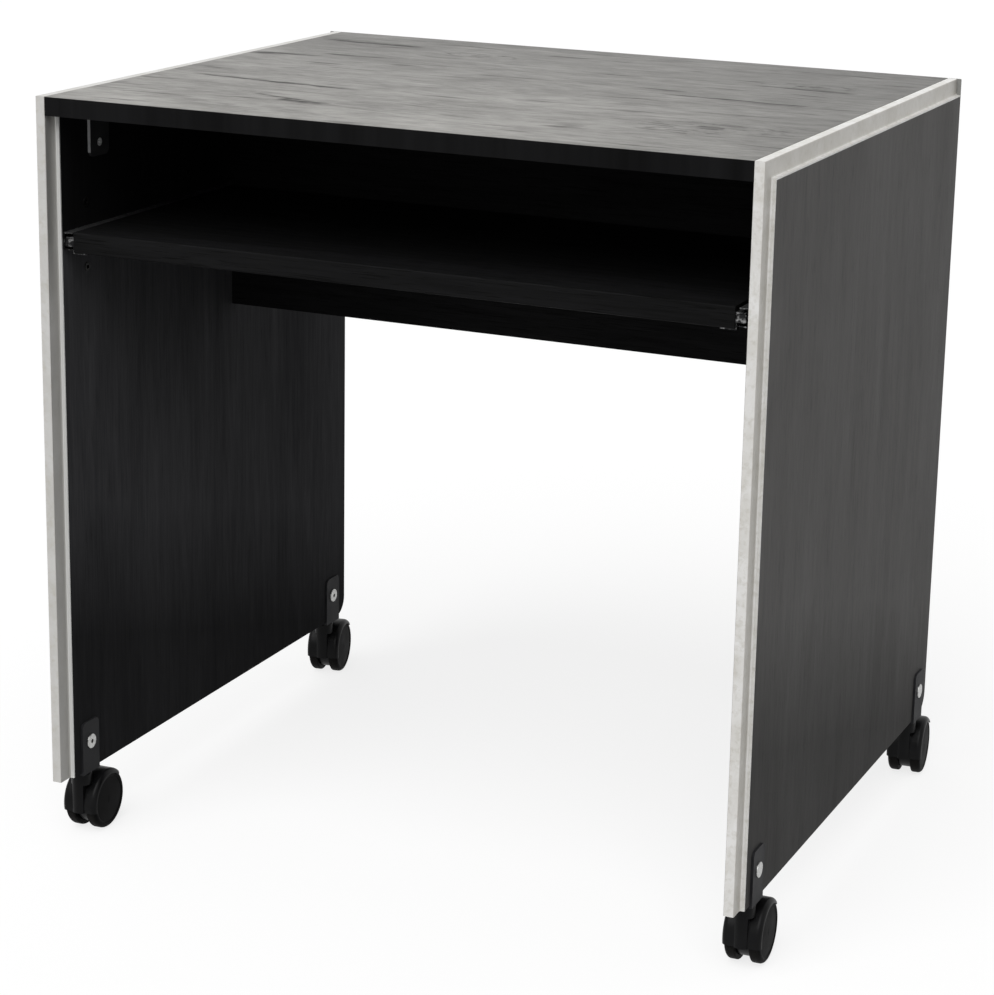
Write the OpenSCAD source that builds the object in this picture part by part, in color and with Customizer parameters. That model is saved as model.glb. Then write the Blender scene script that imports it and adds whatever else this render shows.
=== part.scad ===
// Rolling computer desk: a worktop between two side panels, a stepped trim round the panels'
// front and top edges, a keyboard shelf on ball-bearing slides, and four hooded casters.
// Millimetres. X runs to the right, Y to the rear, Z up from the floor.

/* [Desk] */
// Width over the outer faces of the side panels
desk_w = 730; // [640:10:1000]
// Depth from the front of the trim to the rear edge of the panels
desk_d = 600; // [560:10:760]
// Height of the worktop above the floor
desk_h = 757; // [720:1:820]
// Thickness of each side panel
panel_t = 19; // [17:1:22]
// Radius of the lower rear corner of each side panel
panel_corner_r = 20; // [6:1:40]
// Thickness of the worktop, which the trim stands up to
top_t = 18; // [16:1:22]

/* [Edge trim] */
// Width of the trim's nose
nose_w = 10; // [8:0.5:11]
// Thickness of the lip on each side of the nose
lip_t = 1.5; // [1:0.1:2.5]
// Radius of the cove between lip and nose
cove_r = 2; // [1:0.25:2.5]
// Radius of the nose's arrises
nose_r = 1; // [0.5:0.25:2]
// Width of the tongue that holds the trim in the panel
tongue_w = 6; // [4:0.5:8]
// Depth of the tongue
tongue_l = 9; // [6:0.5:12]
// Clearance round the tongue in its groove
tongue_gap = 0.1; // [0.05:0.05:0.3]
// Thickness of the cap on the rear end of each top trim
cap_t = 1.6; // [1:0.1:3]
// Radius of the cap's corners
cap_r = 1; // [0.5:0.25:2]
// Length of the cap's peg in the trim
cap_peg_l = 10; // [6:0.5:14]
// Diameter of the cap's peg
cap_peg_d = 4; // [3:0.25:5]

/* [Back panel] */
// Thickness of the back panel
back_t = 18; // [16:1:20]
// Gap from the slides or the shelf, whichever end further back, to the panel's front face
back_gap = 20; // [5:1:60]
// Height of the back panel
back_h = 244; // [200:2:400]
// Diameter of the dowels
dowel_d = 8; // [6:1:8]
// Length of the dowels
dowel_l = 30; // [26:1:36]
// Depth of a dowel in the side panel
dowel_in = 11; // [8:1:12]
// Distance from the panel's edges to its cam locks
cam_edge = 48; // [40:1:60]
// Distance from a cam lock to the dowel beside it
cam_to_dowel = 32; // [24:1:40]
// Diameter of a cam lock
cam_d = 14.8; // [13:0.1:16]
// Depth of a cam lock
cam_l = 12.5; // [12:0.25:13.5]
// Distance from the side panel to a cam lock's centre
cam_reach = 34; // [24:1:40]
// Diameter of a cam bolt
cam_bolt_d = 6; // [5:0.5:6.5]
// Depth of a cam bolt's thread in the side panel
cam_bolt_in = 11; // [8:1:13]

/* [Keyboard shelf] */
// Thickness of the shelf
shelf_t = 20; // [18:1:24]
// Depth of the shelf
shelf_d = 300; // [290:1:312]
// Distance from the worktop's surface down to the shelf's surface
shelf_drop = 130; // [100:1:180]
// Distance that the shelf's front stands back
shelf_setback = 17; // [10:1:20]
// Radius of the shelf's front arrises
shelf_r = 1.5; // [0.5:0.25:3]

/* [Slides] */
// Gap between the shelf and the side panel
slide_gap = 13; // [12.7:0.1:14]
// Length of both rails
slide_l = 300; // [280:2:305]
// Distance from the desk's front to the fixed rail
slide_front = 20; // [19:0.5:24]
// Travel of the shelf
slide_travel = 225; // [180:5:225]
// Height of the fixed rail
slide_h = 17; // [16:0.5:18]
// Thickness of the rails' steel
rail_t = 1.2; // [1:0.1:1.3]
// Depth of the fixed rail's flanges
fixed_flange = 10; // [9.4:0.1:10.4]
// Distance from the side panel to the moving rail's flanges
moving_in = 4; // [3.6:0.1:4.4]
// Distance from the side panel to the balls' centres
ball_in = 6; // [5.8:0.1:6.4]
// Diameter of the balls
ball_d = 3.5; // [3.2:0.1:3.6]
// Distance between neighbouring balls
ball_pitch = 14; // [8:0.5:20]
// Running clearance of the balls in their grooves
ball_gap = 0.05; // [0.02:0.01:0.1]
// Depth of the ball grooves
groove_depth = 0.4; // [0.2:0.05:0.5]
// Thickness of the ball cage
cage_t = 0.8; // [0.6:0.1:1]
// Width of the cage's strips on each side of the balls
cage_reach = 3; // [2.6:0.1:3.2]
// Clearance of a ball in its cage
cage_gap = 0.1; // [0.05:0.05:0.2]
// Clearance at the ends of the cage's travel
cage_end = 1.5; // [0.5:0.5:4]
// Clearance at the closed stop
stop_gap = 0.3; // [0.2:0.1:1]
// Width of the flange under the shelf
shelf_flange = 14; // [12:0.5:20]

/* [Slide screws] */
// Distance from the rail's front to its first screw
rail_hole_y = 40; // [30:1:60]
// Distance between the rail's screws
rail_hole_pitch = 192; // [128:32:224]
// Height between a rail screw and the spare sleeve above or below it
spare_pitch = 32; // [20:1:48]
// Shank diameter of the rail screws
rail_screw_d = 4.8; // [4:0.1:5]
// Length of the rail screws in the panel
rail_screw_l = 12; // [8:0.5:13]
// Distance from the rail's end to the first shelf screw
shelf_hole_y = 30; // [20:1:50]
// Shank diameter of the shelf screws
shelf_screw_d = 3.6; // [3:0.1:4]
// Length of the shelf screws
shelf_screw_l = 14; // [10:1:15]

/* [Angle brackets] */
// Width of a bracket
bracket_w = 33; // [25:1:40]
// Length of a bracket's legs
bracket_leg = 48; // [42:1:60]
// Thickness of a bracket
bracket_t = 3; // [2:0.25:4]
// Radius of a bracket's free corners
bracket_r = 6; // [2:0.5:8]
// Inside radius of a bracket's bend
bend_r = 1.5; // [1:0.25:3]
// Distance from the bend's outer face to the screw
bracket_hole = 35; // [20:1:36]
// Distance from the desk's front or rear edge to a bracket's middle
bracket_y = 82; // [75:1:90]
// Shank diameter of the bracket screws
bracket_screw_d = 4; // [3:0.25:4.5]
// Length of the bracket screws
bracket_screw_l = 15; // [12:1:16]

/* [Saddles] */
// Width of a saddle along the panel
saddle_w = 30; // [26:1:40]
// Height of a saddle's cheeks above the panel's lower edge
saddle_h = 52.6; // [44:0.2:60]
// Thickness of a saddle's steel
saddle_t = 2.5; // [2:0.25:3]
// Radius of the cheeks' upper corners
saddle_r = 6; // [2:0.5:10]
// Clearance between a cheek and the panel
saddle_gap = 0.1; // [0.05:0.05:0.3]
// Height of the bolt above the panel's lower edge
bolt_h = 30.5; // [24:0.5:34]
// Diameter of the bolt's heads
bolt_head_d = 15; // [12:0.5:18]
// Thickness of the bolt's heads
bolt_head_t = 1.4; // [1:0.1:2]
// Diameter of the sleeve nut
sleeve_d = 8; // [7:0.5:10]
// Diameter of the screw in the sleeve nut
bolt_d = 5; // [4:0.25:5.5]

/* [Casters] */
// Height from the floor to the panel's lower edge
caster_h = 70.5; // [69.5:0.5:76]
// Diameter of the wheels
wheel_d = 60; // [56:0.5:61]
// Width of one wheel
wheel_w = 10.9; // [10:0.1:11]
// Width of a caster over its hood
caster_w = 38; // [38:0.5:42]
// Distance from the swivel axis back to the axle
trail = 24; // [22:0.5:26]
// Distance from the desk's front to the front swivel axes
front_caster_y = 45; // [42:0.5:60]
// Distance from the desk's rear edge to the rear swivel axes
rear_caster_y = 33; // [28:0.5:50]
// Turn of the front left caster at rest
front_left_turn = 2; // [-180:1:180]
// Turn of the front right caster at rest
front_right_turn = 2; // [-180:1:180]
// Turn of the rear left caster at rest
rear_left_turn = 10; // [-180:1:180]
// Turn of the rear right caster at rest
rear_right_turn = 5; // [-180:1:180]

/* [Caster details] */
// Radial clearance between wheel and hood
wheel_gap = 0.6; // [0.5:0.1:1]
// Thickness of the hood's shell
hood_t = 1.2; // [1:0.1:1.4]
// Radius of the hood's side edges
hood_r = 5; // [4.8:0.1:5.4]
// Height of the hood's lower edge above the floor
hood_bottom = 24; // [18:0.5:28]
// Angle of the hood's rear edge above the axle
hood_rear_angle = 50; // [30:1:70]
// Thickness of the web between the wheels, and width of the hood's straight front
web_w = 12.4; // [12:0.1:12.6]
// Radius of the web about the axle
web_r = 25; // [18:0.5:25.5]
// Diameter of the stem's housing
housing_d = 21; // [20:0.5:23]
// Height of the housing's round part above the floor
housing_z = 54; // [50:0.5:58]
// Radius of the housing's upper edge
housing_r = 1.5; // [0.5:0.25:3]
// Diameter of the stem's shoulder
shoulder_d = 18; // [16:0.5:20]
// Thickness of the stem's shoulder
shoulder_t = 1.5; // [1:0.1:2]
// Clearance between shoulder and housing
shoulder_gap = 0.2; // [0.1:0.05:0.4]
// Diameter of the stem's journal
journal_d = 11; // [9:0.25:11]
// Length of the stem's journal
journal_l = 15; // [12:0.5:16]
// Diameter of the stem's pilot
pilot_d = 7; // [6:0.25:7.5]
// Length of the stem's pilot
pilot_l = 16; // [12:0.5:17]
// Radial running clearance of stem and wheels
run_gap = 0.05; // [0.02:0.01:0.1]
// Width of the snap ring
ring_t = 1.1; // [0.8:0.1:1.4]
// Depth that the snap ring stands out of the stem
ring_out = 0.5; // [0.3:0.05:0.6]
// Depth of the snap ring's groove in the stem
ring_in = 0.7; // [0.5:0.05:0.9]
// Distance from the pilot's end to the snap ring
ring_end = 4; // [2.5:0.25:6]
// Diameter of the axle
axle_d = 6; // [5:0.25:7]
// Thickness of the wheel's rim
rim_t = 4.5; // [4.4:0.1:5]
// Radius of the rim's outer edge
rim_r = 4.2; // [3.6:0.1:4.3]
// Radius of the rim's inner edge
rim_inner_r = 1.5; // [0.5:0.25:2]
// Thickness of the wheel's disc at its edge
disc_t = 2.4; // [1.8:0.1:3]
// Depth that the disc's edge lies below the rim
disc_dish = 0.8; // [0.4:0.1:1.2]
// Diameter of the wheel's hub
hub_d = 13; // [11:0.5:16]
// Thickness of the wheel's ribs
rib_t = 1.6; // [1:0.1:2.4]
// Depth of the ribs behind the wheel's disc
rib_depth = 5.9; // [4:0.1:7]
// Number of ribs in a wheel
ribs = 8; // [4:1:12]
// Side clearance between hub and web
hub_gap = 0.3; // [0.2:0.05:0.6]
// Side clearance between rim and web
rim_gap = 0.5; // [0.4:0.05:0.6]

/* [Hidden] */
$fn = 48;
eps = 0.01;
over = 1;

panel_in = desk_w / 2 - panel_t;
panel_mid = desk_w / 2 - panel_t / 2;
panel_top = desk_h - top_t;
trim_proud = top_t;
cap_y = desk_d - cap_t;
top_half = panel_mid - nose_w / 2;

lip_gap = 0.2;
fit = 0.1;

back_y = max(shelf_setback + shelf_d, slide_front + slide_l) + back_gap;
back_rear = back_y + back_t;
back_z = panel_top - back_h;
cam_heights = [back_z + cam_edge, panel_top - cam_edge];
dowel_heights = [back_z + cam_edge + cam_to_dowel, panel_top - cam_edge - cam_to_dowel];
back_mid = back_y + back_t / 2;

shelf_half = panel_in - slide_gap;
shelf_top = desk_h - shelf_drop;
shelf_z = shelf_top - shelf_t;
slide_z = shelf_top - shelf_t / 2;

ball_r = ball_d / 2;
groove_r = ball_r + ball_gap;
ball_up = slide_h / 2 - rail_t + groove_depth - groove_r;
moving_up = ball_up - groove_r + groove_depth;
cage_l = slide_l - slide_travel - 2 * cage_end;
cage_y = (slide_l - cage_l) / 2;
cage_edge = 2;
cage_margin = ball_r + cage_edge;
ball_count = floor((cage_l - 2 * cage_margin) / ball_pitch) + 1;
ball_row = (ball_count - 1) * ball_pitch;
ball_ys = [for (i = [0 : ball_count - 1]) cage_y + (cage_l - ball_row) / 2 + i * ball_pitch];
rail_hole_ys = [rail_hole_y, rail_hole_y + rail_hole_pitch];
shelf_hole_ys = [shelf_hole_y, slide_l / 2, slide_l - shelf_hole_y];
rail_head_flare = rail_t;
flange_mid = slide_gap + shelf_flange / 2;
stop_t = 1.2;
tab_in = 3.3;
tab_up = 3;
pan_head_d = 6.6;
pan_head_t = 1.6;
sleeve_flange_d = 9;
sleeve_flange_t = 0.8;
spare_d = 6;
spare_l = 10;
spare_bore_d = 4;

screw_head_t = 2;
cross_w = 1;
cross_l = 4.4;
cross_depth = 1.2;

saddle_in = panel_t / 2 + saddle_gap;
saddle_out = saddle_in + saddle_t;
sleeve_end = 0.4;
sleeve_floor = 2;
bolt_end_gap = 4;
bolt_hex = 4.6;

stem_z = caster_h - saddle_t;
housing_top = stem_z - shoulder_t - shoulder_gap;
journal_z = stem_z - shoulder_t - journal_l;
pilot_z = journal_z - pilot_l;
rivet_flare = 2;
ring_z = pilot_z + ring_end;
ring_slack = 0.15;
ring_slot = 2;
pilot_gap = 0.5;

wheel_r = wheel_d / 2;
axle_in = 1.6;
collar_in = 3.6;
axle_r = axle_d / 2;
space_r = wheel_r + wheel_gap;
hood_out_r = space_r + hood_t;
web_half = web_w / 2;
rim_x = web_half + rim_gap;
wheel_x = rim_x + wheel_w;
hub_x = web_half + hub_gap;
axle_end = wheel_x - axle_in;
axle_end_gap = 0.4;
collar_x = wheel_x - collar_in;
collar_w = 0.8;
collar_out = 0.4;
collar_slack = 0.3;

// The desk's middle, so that the floor under its centre is the origin
desk_mid_y = (desk_d - rear_caster_y + trail + wheel_r) / 2;

CORNERS = ["front_left", "front_right", "rear_left", "rear_right"];
SIDES = ["left", "right"];
caster_x = [-panel_mid, panel_mid, -panel_mid, panel_mid];
caster_y = [front_caster_y, front_caster_y, desk_d - rear_caster_y, desk_d - rear_caster_y];
caster_turn = [front_left_turn, front_right_turn, rear_left_turn, rear_right_turn];
bracket_ys = [bracket_y, bracket_y, desk_d - bracket_y, desk_d - bracket_y];

// Places and directions

module place() {
    translate([0, -desk_mid_y, 0]) children();
}

// Draws a right-hand piece on the side that is asked for
module on_side(side) {
    if (side == "left") mirror([1, 0, 0]) children();
    else children();
}

// Extrudes a profile of (Y, Z) points towards +X
module along_x(l) {
    rotate([90, 0, 90]) linear_extrude(l) children();
}

// Extrudes a profile of (X, Z) points towards +Y
module along_y(l) {
    translate([0, l, 0]) rotate([90, 0, 0]) linear_extrude(l) children();
}

// A cylinder from the origin towards +X
module rod_x(l, d, d2 = undef) {
    rotate([0, 90, 0]) cylinder(h = l, d1 = d, d2 = is_undef(d2) ? d : d2);
}

// The waste outside a rounded corner whose edges run along +X and +Y from the origin
module corner_waste(r) {
    difference() {
        translate([-over, -over]) square(r + over);
        translate([r, r]) circle(r);
    }
}

// Side panels

module panel_outline() {
    difference() {
        translate([trim_proud, caster_h]) square([desk_d - trim_proud, panel_top - caster_h]);
        translate([desk_d, caster_h]) mirror([1, 0]) corner_waste(panel_corner_r);
    }
}

module tongue_grooves() {
    groove_w = tongue_w + 2 * tongue_gap;
    depth = tongue_l + tongue_gap;
    translate([panel_mid - groove_w / 2, trim_proud - over, caster_h - over])
        cube([groove_w, depth + over, panel_top - caster_h + 2 * over]);
    translate([panel_mid - groove_w / 2, trim_proud - over, panel_top - depth])
        cube([groove_w, desk_d - trim_proud + 2 * over, depth + over]);
}

// Blind holes drilled outwards from the panel's inner face
module panel_holes() {
    for (z = dowel_heights)
        translate([panel_in - over, back_mid, z]) rod_x(dowel_in + over + fit, dowel_d + 2 * fit);
    for (z = cam_heights)
        translate([panel_in - over, back_mid, z])
            rod_x(cam_bolt_in + over + fit, cam_bolt_d + 2 * fit);
    for (y = rail_hole_ys) {
        translate([panel_in - over, slide_front + y, slide_z])
            rod_x(rail_screw_l + over + fit, rail_screw_d + 2 * fit);
        for (up = [-spare_pitch, spare_pitch])
            translate([panel_in - over, slide_front + y, slide_z + up])
                rod_x(spare_l + over + fit, spare_d + 2 * fit);
    }
    for (y = [bracket_ys[0], bracket_ys[2]])
        translate([panel_in - over, y, panel_top - bracket_hole])
            rod_x(bracket_screw_l - bracket_t + over + fit, bracket_screw_d + 2 * fit);
}

module side_panel() {
    color("#1d1c1b") difference() {
        translate([panel_in, 0, 0]) along_x(panel_t) panel_outline();
        tongue_grooves();
        panel_holes();
        for (y = [caster_y[0], caster_y[2]])
            translate([panel_in - over, y, caster_h + bolt_h])
                rod_x(panel_t + 2 * over, sleeve_d + 2 * fit);
    }
}

// Edge trim: nose, coves, lips and tongue, with the panel's edge at zero

module trim_profile() {
    translate([-nose_w / 2, 0]) square([nose_w, trim_proud - nose_r]);
    translate([nose_r - nose_w / 2, 0]) square([nose_w - 2 * nose_r, trim_proud]);
    for (side = [-1, 1])
        translate([side * (nose_w / 2 - nose_r), trim_proud - nose_r]) circle(nose_r);
    translate([-panel_t / 2, 0]) square([panel_t, lip_t]);
    for (m = [0, 1]) mirror([m, 0]) difference() {
        translate([nose_w / 2 - over, lip_t - over]) square(cove_r + over);
        translate([nose_w / 2 + cove_r, lip_t + cove_r]) circle(cove_r);
    }
    translate([-tongue_w / 2, -tongue_l]) square([tongue_w, tongue_l + lip_t]);
}

// Everything behind and above the mitre of the front and top trims
module behind_mitre() {
    reach = 4 * trim_proud;
    along_x(desk_w) polygon([
        [-reach, desk_h + reach],
        [reach, desk_h - reach],
        [desk_d + reach, desk_h - reach],
        [desk_d + reach, desk_h + reach]
    ]);
}

module front_trim() {
    color("#c9c8c1") difference() {
        translate([panel_mid, trim_proud, caster_h]) mirror([0, 1, 0])
            linear_extrude(desk_h - caster_h) trim_profile();
        behind_mitre();
    }
}

module top_trim() {
    color("#c9c8c1") difference() {
        intersection() {
            translate([panel_mid, 0, panel_top]) along_y(cap_y) trim_profile();
            behind_mitre();
        }
        cap_peg(cap_peg_d + 2 * fit, cap_peg_l + fit);
    }
}

// The peg's centre is at the middle of the nose
module cap_peg(d, l) {
    translate([panel_mid, cap_y - l, panel_top + trim_proud / 2]) rotate([-90, 0, 0])
        cylinder(h = l + over, d = d);
}

// Caps from the worktop to the panel's outer face close the stepped ends of the top trims
module trim_end_caps() {
    cap_w = (nose_w + panel_t) / 2;
    color("#b9b8b1") for (side = SIDES) on_side(side) {
        translate([top_half, cap_y, panel_top]) along_y(cap_t) difference() {
            square([cap_w, trim_proud]);
            for (m = [0, 1]) translate([m * cap_w, trim_proud]) mirror([m, 0]) mirror([0, 1])
                corner_waste(cap_r);
        }
        cap_peg(cap_peg_d, cap_peg_l);
    }
}

// Worktop, relieved over the lips and coves of the trim

module top_relief() {
    clear = cove_r + lip_gap;
    translate([0, trim_proud - lip_t, 0]) along_y(desk_d) polygon([
        [panel_in - lip_gap, panel_top - over],
        [panel_in - lip_gap, panel_top + lip_t],
        [top_half - clear, panel_top + lip_t],
        [top_half, panel_top + lip_t + clear],
        [top_half + over, panel_top + lip_t + clear],
        [top_half + over, panel_top - over]
    ]);
    translate([top_half - clear, trim_proud - lip_t - clear, panel_top - over])
        cube([clear + over, clear + over, lip_t + clear + over]);
}

module top_board() {
    color("#55524f") difference() {
        translate([-top_half, 0, panel_top]) cube([2 * top_half, desk_d, top_t]);
        for (side = SIDES) on_side(side) {
            top_relief();
            for (y = [bracket_ys[0], bracket_ys[2]])
                translate([panel_in - bracket_hole, y, panel_top - over])
                    cylinder(
                        h = bracket_screw_l - bracket_t + over + fit,
                        d = bracket_screw_d + 2 * fit
                    );
        }
    }
}

// Back panel and its fittings

module back_panel() {
    cam_hole_d = cam_d + 2 * fit;
    color("#1a1918") difference() {
        translate([-panel_in, back_y, back_z]) cube([2 * panel_in, back_t, back_h]);
        for (side = SIDES) on_side(side) {
            for (z = dowel_heights)
                translate([panel_in - dowel_l + dowel_in - fit, back_mid, z])
                    rod_x(dowel_l + over, dowel_d + 2 * fit);
            for (z = cam_heights) {
                translate([panel_in - cam_reach, back_mid, z])
                    rod_x(cam_reach + over, cam_bolt_d + 2 * fit);
                translate([panel_in - cam_reach, back_rear - cam_l - fit, z])
                    rotate([-90, 0, 0]) cylinder(h = cam_l + fit + over, d = cam_hole_d);
            }
        }
    }
}

module back_panel_dowels() {
    color("#c8a878") for (side = SIDES) on_side(side)
        for (z = dowel_heights)
            translate([panel_in + dowel_in - dowel_l, back_mid, z]) rod_x(dowel_l, dowel_d);
}

// A cam lock is open on one side for the bolt's head, and slotted for a screwdriver
module cam_locks() {
    slot_l = 9;
    slot_w = 2;
    slot_depth = 2.5;
    color("#a9a9a6") for (side = SIDES) on_side(side)
        for (z = cam_heights) translate([panel_in - cam_reach, 0, z]) difference() {
            translate([0, back_rear - cam_l, 0]) rotate([-90, 0, 0]) cylinder(h = cam_l, d = cam_d);
            translate([-cam_bolt_d / 2, back_mid, 0]) rod_x(cam_d, cam_bolt_d + 4 * fit);
            for (turn = [0, 90])
                translate([0, back_rear, 0]) rotate([0, turn, 0])
                    cube([slot_l, 2 * slot_depth, slot_w], center = true);
        }
}

module cam_bolts() {
    neck_in = 1;
    neck_d = cam_bolt_d - 2 * neck_in;
    head_l = 2.5;
    neck_l = 4;
    color("#b5b5b2") for (side = SIDES) on_side(side)
        for (z = cam_heights) translate([panel_in - cam_reach, back_mid, z]) {
            rod_x(head_l, cam_bolt_d);
            rod_x(head_l + neck_l + eps, neck_d);
            translate([head_l + neck_l, 0, 0])
                rod_x(cam_reach + cam_bolt_in - head_l - neck_l, cam_bolt_d);
        }
}

// Keyboard shelf

module shelf_section() {
    translate([shelf_setback + shelf_r, shelf_z]) square([shelf_d - shelf_r, shelf_t]);
    translate([shelf_setback, shelf_z + shelf_r]) square([2 * shelf_r, shelf_t - 2 * shelf_r]);
    for (z = [shelf_z + shelf_r, shelf_top - shelf_r])
        translate([shelf_setback + shelf_r, z]) circle(shelf_r);
}

module keyboard_shelf() {
    color("#242220") difference() {
        translate([-shelf_half, 0, 0]) along_x(2 * shelf_half) shelf_section();
        for (side = SIDES) on_side(side)
            for (y = shelf_hole_ys)
                translate([panel_in - flange_mid, slide_front + y, shelf_z - over])
                    cylinder(h = shelf_screw_l + over + fit, d = shelf_screw_d + 2 * fit);
    }
}

// Slides. Here X runs from the side panel towards the shelf, and Z is zero at mid height.

module slide_frame() {
    translate([panel_in, slide_front, slide_z]) mirror([1, 0, 0]) children();
}

module ball_grooves() {
    for (up = [-ball_up, ball_up]) translate([ball_in, up]) circle(groove_r);
}

module fixed_section() {
    inside_h = slide_h - 2 * rail_t;
    difference() {
        translate([0, -slide_h / 2]) square([fixed_flange, slide_h]);
        translate([rail_t, -inside_h / 2]) square([fixed_flange, inside_h]);
        ball_grooves();
    }
}

module moving_section() {
    flange_z = -shelf_t / 2 - rail_t;
    difference() {
        union() {
            for (m = [0, 1]) mirror([0, m])
                translate([moving_in, moving_up - rail_t]) square([slide_gap - moving_in, rail_t]);
            translate([slide_gap - rail_t, flange_z]) square([rail_t, moving_up - flange_z]);
            translate([slide_gap - rail_t, flange_z]) square([rail_t + shelf_flange, rail_t]);
        }
        ball_grooves();
    }
}

module fixed_rail() {
    color("#8d8f92") slide_frame() difference() {
        along_y(slide_l) fixed_section();
        for (y = rail_hole_ys) translate([0, y, 0]) {
            translate([-over, 0, 0]) rod_x(rail_t + 2 * over, rail_screw_d + 2 * fit);
            rod_x(rail_t + eps, rail_screw_d + 2 * fit, rail_screw_d + 2 * rail_head_flare + 2 * fit);
        }
    }
}

// The moving rail, with a tab that meets the fixed rail's end when the shelf is home
module moving_rail() {
    tab_y = -stop_gap - stop_t;
    color("#8d8f92") slide_frame() difference() {
        union() {
            translate([0, tab_y, 0]) along_y(slide_l - tab_y) moving_section();
            translate([tab_in, tab_y, -moving_up])
                cube([slide_gap - tab_in, stop_t, moving_up + tab_up]);
        }
        for (y = shelf_hole_ys)
            translate([flange_mid, y, -shelf_t / 2 - rail_t - over])
                cylinder(h = rail_t + 2 * over, d = shelf_screw_d + 2 * fit);
    }
}

module cage_section() {
    strip_in = ball_in - cage_reach - cage_t;
    translate([strip_in, -ball_up - cage_t / 2]) square([cage_t, 2 * ball_up + cage_t]);
    for (up = [-ball_up, ball_up])
        translate([strip_in, up - cage_t / 2]) square([2 * cage_reach + cage_t, cage_t]);
}

module ball_cage() {
    color("#c4c5c6") slide_frame() difference() {
        translate([0, cage_y, 0]) along_y(cage_l) cage_section();
        for (y = ball_ys) for (up = [-ball_up, ball_up])
            translate([ball_in, y, up]) cylinder(h = 3 * cage_t, r = ball_r + cage_gap, center = true);
    }
}

module balls() {
    color("#d8d8d8") slide_frame()
        for (y = ball_ys) for (up = [-ball_up, ball_up]) translate([ball_in, y, up]) sphere(ball_r);
}

module rail_screws() {
    color("#c9c9c9") for (side = SIDES) on_side(side) slide_frame()
        for (y = rail_hole_ys) translate([0, y, 0]) difference() {
            union() {
                translate([-rail_screw_l, 0, 0]) rod_x(rail_screw_l + eps, rail_screw_d);
                rod_x(rail_t, rail_screw_d, rail_screw_d + 2 * rail_head_flare);
            }
            translate([rail_t, 0, 0]) cube([cross_depth, cross_l, cross_w], center = true);
            translate([rail_t, 0, 0]) cube([cross_depth, cross_w, cross_l], center = true);
        }
}

module shelf_screws() {
    head_z = -shelf_t / 2 - rail_t - pan_head_t;
    color("#c9c9c9") for (side = SIDES) on_side(side) slide_frame()
        for (y = shelf_hole_ys) translate([flange_mid, y, head_z]) difference() {
            union() {
                cylinder(h = pan_head_t, d = pan_head_d);
                cylinder(h = pan_head_t + shelf_screw_l + rail_t - fit, d = shelf_screw_d);
            }
            cube([cross_l, cross_w, 2 * cross_depth], center = true);
            cube([cross_w, cross_l, 2 * cross_depth], center = true);
        }
}

// Sleeves in which the rails can be screwed one step higher or lower
module spare_sleeves() {
    color("#b8b2a0") for (side = SIDES) on_side(side) slide_frame()
        for (y = rail_hole_ys) for (up = [-spare_pitch, spare_pitch])
            translate([-spare_l, y, up]) difference() {
                union() {
                    rod_x(spare_l + eps, spare_d);
                    translate([spare_l, 0, 0]) rod_x(sleeve_flange_t, sleeve_flange_d);
                }
                translate([over, 0, 0]) rod_x(spare_l + sleeve_flange_t, spare_bore_d);
            }
}

// Angle brackets, drawn with the bend in the corner of panel and worktop

module bracket_section() {
    difference() {
        union() {
            translate([-bracket_leg, -bracket_t]) square([bracket_leg, bracket_t]);
            translate([-bracket_t, -bracket_leg]) square([bracket_t, bracket_leg]);
            translate([-bracket_t - bend_r, -bracket_t - bend_r]) difference() {
                square(bend_r + eps);
                circle(bend_r);
            }
        }
        mirror([1, 0]) mirror([0, 1]) corner_waste(bend_r + bracket_t);
    }
}

module countersink(gap) {
    translate([0, 0, -over]) cylinder(h = bracket_t + 2 * over, d = bracket_screw_d + 2 * gap);
    cylinder(
        h = screw_head_t,
        d1 = bracket_screw_d + 2 * screw_head_t + 2 * gap,
        d2 = bracket_screw_d + 2 * gap
    );
    translate([0, 0, -over])
        cylinder(h = over + eps, d = bracket_screw_d + 2 * screw_head_t + 2 * gap);
}

// Turns a screw that points up into the worktop's bracket hole, or out into the panel's
module at_bracket_hole(leg) {
    if (leg == "top") translate([-bracket_hole, 0, -bracket_t]) children();
    else translate([-bracket_t, 0, -bracket_hole]) rotate([0, 90, 0]) children();
}

module bracket_place(i) {
    translate([panel_in, bracket_ys[i], panel_top]) children();
}

module angle_bracket(i) {
    color("#2b2b2c") bracket_place(i) difference() {
        translate([0, -bracket_w / 2, 0]) along_y(bracket_w) bracket_section();
        for (m = [0, 1]) mirror([0, m, 0]) {
            translate([-bracket_leg, -bracket_w / 2, -bracket_t - over])
                linear_extrude(bracket_t + 2 * over) corner_waste(bracket_r);
            translate([-bracket_t - over, -bracket_w / 2, -bracket_leg])
                along_x(bracket_t + 2 * over) corner_waste(bracket_r);
        }
        for (leg = ["top", "panel"]) at_bracket_hole(leg) countersink(fit);
    }
}

module bracket_screw() {
    difference() {
        union() {
            cylinder(
                h = screw_head_t,
                d1 = bracket_screw_d + 2 * screw_head_t,
                d2 = bracket_screw_d
            );
            cylinder(h = bracket_screw_l, d = bracket_screw_d);
        }
        cube([cross_l, cross_w, 2 * cross_depth], center = true);
        cube([cross_w, cross_l, 2 * cross_depth], center = true);
    }
}

module bracket_screws() {
    color("#c9c9c9") for (i = [0 : 3]) on_side(SIDES[i % 2])
        for (leg = ["top", "panel"]) bracket_place(i) at_bracket_hole(leg) bracket_screw();
}

// Saddles, bolted through the panels, with the casters' stems riveted in

module at_caster(i) {
    translate([caster_x[i], caster_y[i], 0]) children();
}

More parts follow.
